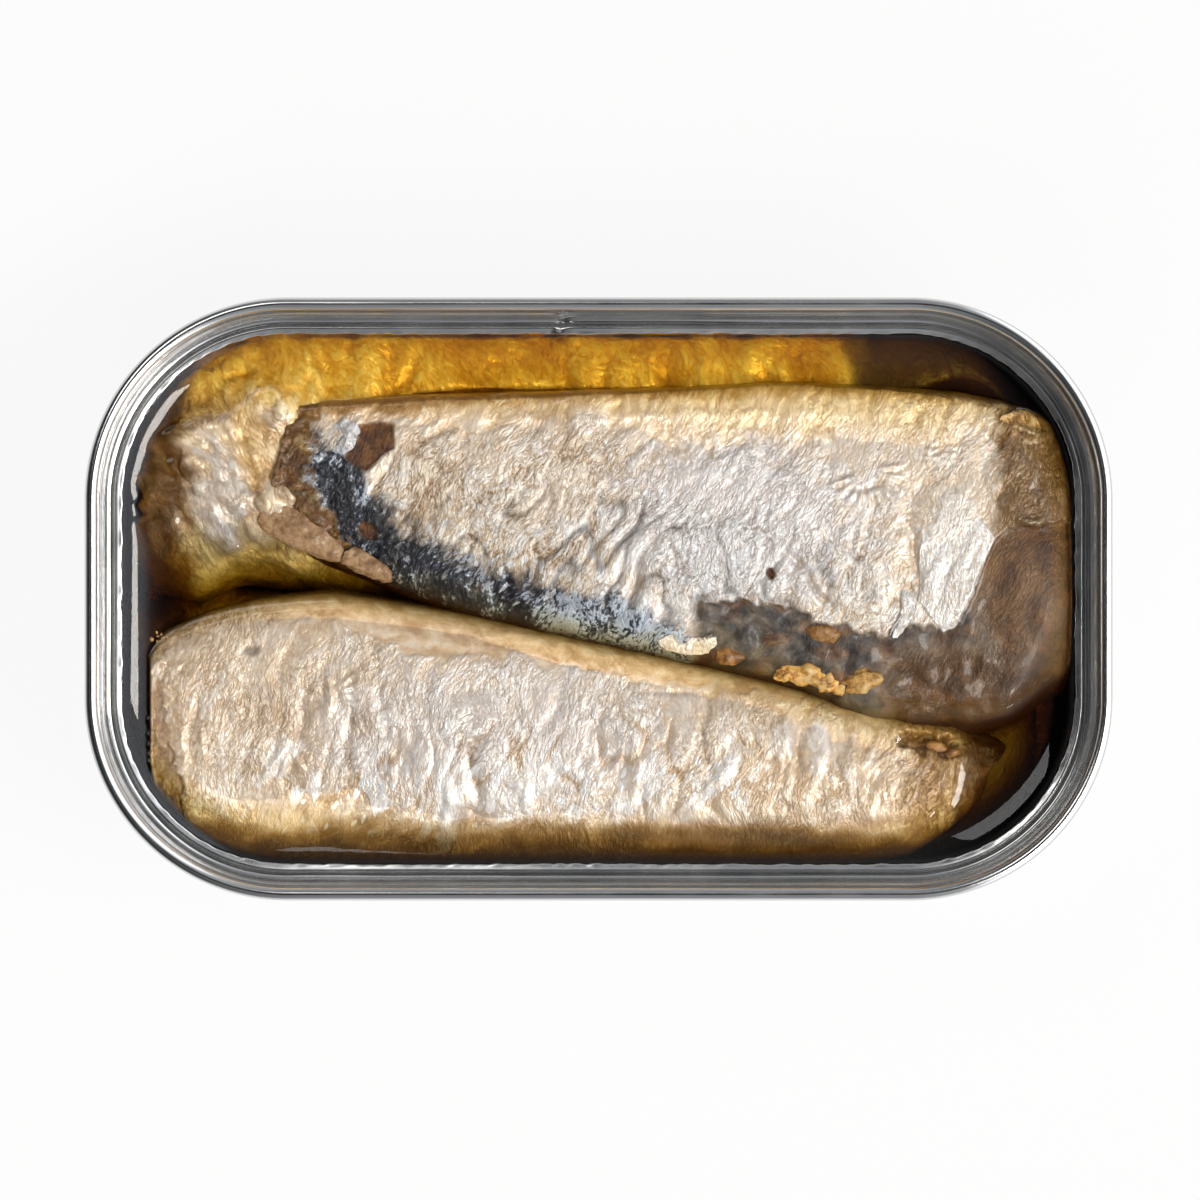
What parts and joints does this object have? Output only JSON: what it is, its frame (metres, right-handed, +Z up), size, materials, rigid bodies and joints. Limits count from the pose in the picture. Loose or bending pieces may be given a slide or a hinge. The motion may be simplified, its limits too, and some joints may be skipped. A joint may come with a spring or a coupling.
{
  "type": "tin of mackerel",
  "caption": "Open fish tin with rounded corners, its lid peeled off inside the seam, holding silver-skinned mackerel fillets and loose flesh flakes in golden oil.",
  "frame": {"origin": "middle of the footprint, at the height the tin stands on", "axes": "+X along the tin towards the head end of the back fish, +Y from the front fish to the back fish, +Z up out of the open top"},
  "size_m": [0.105, 0.0616, 0.029],
  "materials": {
    "can_aluminium": "drawn, satin",
    "lid_aluminium": "rolled, satin",
    "oil": "clear amber oil",
    "fish_skin": "wet pearly skin",
    "fish_flesh": "moist cooked flesh"
  },
  "bodies": {
    "root": {"can_body": "can_aluminium", "lid_rim": "lid_aluminium", "oil": "oil", "fish_front": "fish_skin", "fish_back": "fish_skin", "fish_under_back": "fish_skin", "fish_under_front": "fish_skin", "flesh_flake_large": "fish_flesh", "flesh_flake_small": "fish_flesh"}
  },
  "joints": []
}
